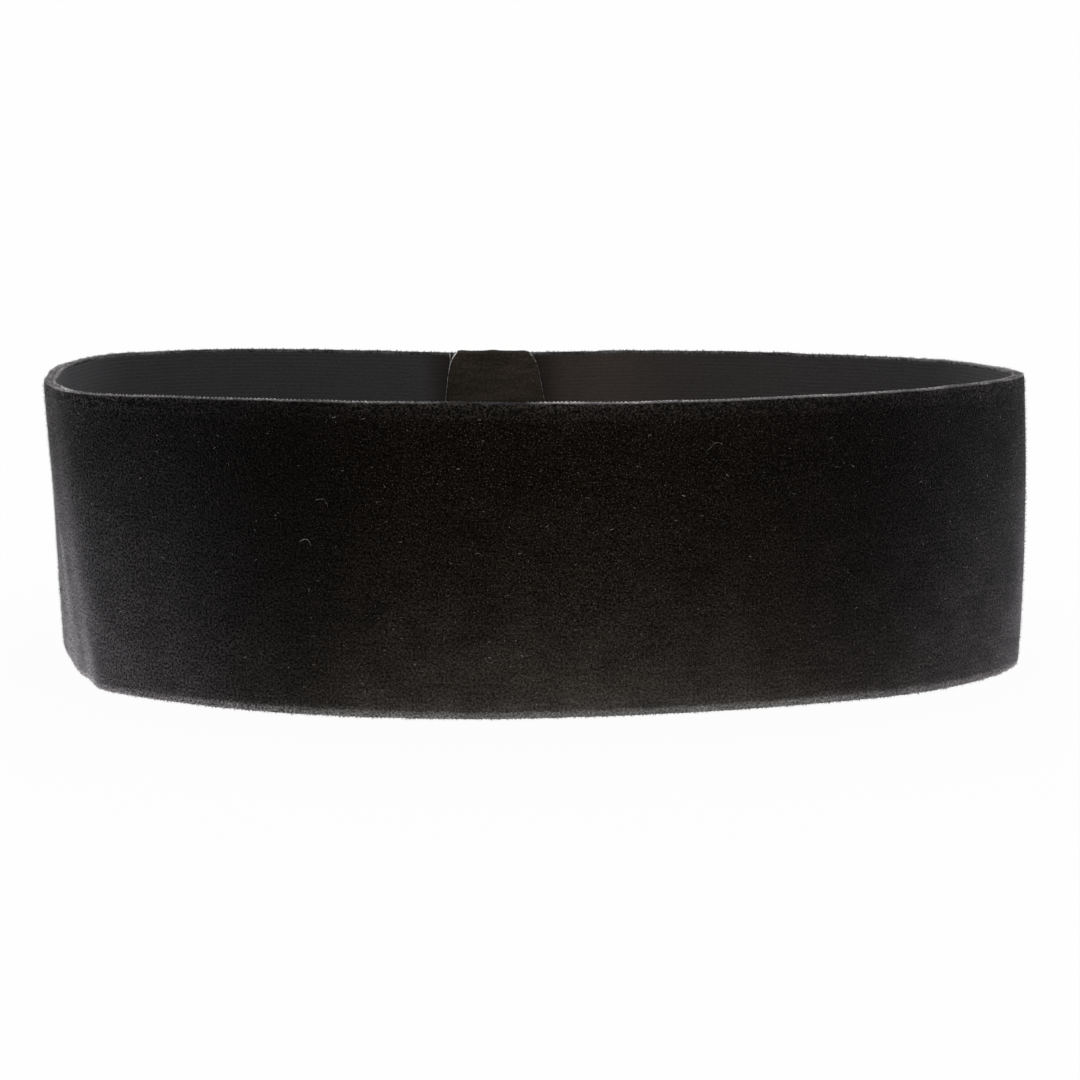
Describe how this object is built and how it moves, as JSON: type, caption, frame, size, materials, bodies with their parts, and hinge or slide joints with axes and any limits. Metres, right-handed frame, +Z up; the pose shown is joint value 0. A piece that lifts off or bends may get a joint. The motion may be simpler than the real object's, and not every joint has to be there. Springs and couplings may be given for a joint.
{
  "type": "stretch headband",
  "caption": "Wide stretch headband: a velvet-faced elastic strip sewn into a loop, with a ribbed inside and a velvet wrap round its join at the back.",
  "frame": {"origin": "middle of the loop's outline, at the height of the bottom rim it stands on", "axes": "+X to the wearer's left along the loop's long side, +Y from the front of the loop to the join at its back, +Z up across the strip's width"},
  "size_m": [0.2039, 0.1046, 0.0606],
  "materials": {
    "velvet": "short cut pile, black, matt face-on with a grey sheen at a grazing view",
    "weave": "charcoal ribbed elastic weave, matt",
    "rubber": "black covered rubber thread",
    "thread": "black polyester sewing thread"
  },
  "bodies": {
    "front": {"pile_face_front": "velvet", "elastic_weave_front": "weave", "rubber_strand_1": "rubber", "rubber_strand_2": "rubber", "rubber_strand_3": "rubber", "rubber_strand_4": "rubber", "rubber_strand_5": "rubber", "rubber_strand_6": "rubber", "rubber_strand_7": "rubber", "rubber_strand_8": "rubber", "bottom_selvedge": "weave", "top_selvedge": "weave"},
    "left_side": {"pile_face_left": "velvet", "elastic_weave_left": "weave"},
    "right_side": {"pile_face_right": "velvet", "elastic_weave_right": "weave"},
    "back": {"pile_face_back_left": "velvet", "pile_face_back_right": "velvet", "elastic_weave_back_left": "weave", "elastic_weave_back_right": "weave", "join_needle_thread": "thread", "join_bobbin_thread": "thread", "join_wrap": "velvet", "wrap_seam_thread": "thread"}
  },
  "joints": [
    {"name": "back_stretch", "type": "slide", "parent": "front", "child": "back", "axis": [0, 1, 0], "range_m": [0, 0.05], "stiffness_N_per_m": 150, "deforming": ["rubber_strand_1", "rubber_strand_2", "rubber_strand_3", "rubber_strand_4", "rubber_strand_5", "rubber_strand_6", "rubber_strand_7", "rubber_strand_8", "bottom_selvedge", "top_selvedge"]},
    {"name": "left_stretch", "type": "slide", "parent": "front", "child": "left_side", "axis": [0, 1, 0], "range_m": [0, 0.025]},
    {"name": "right_stretch", "type": "slide", "parent": "front", "child": "right_side", "axis": [0, 1, 0], "range_m": [0, 0.025]}
  ],
  "couplings": [
    {"joint": "left_stretch", "follows": "back_stretch", "ratio": 0.5},
    {"joint": "right_stretch", "follows": "back_stretch", "ratio": 0.5}
  ]
}
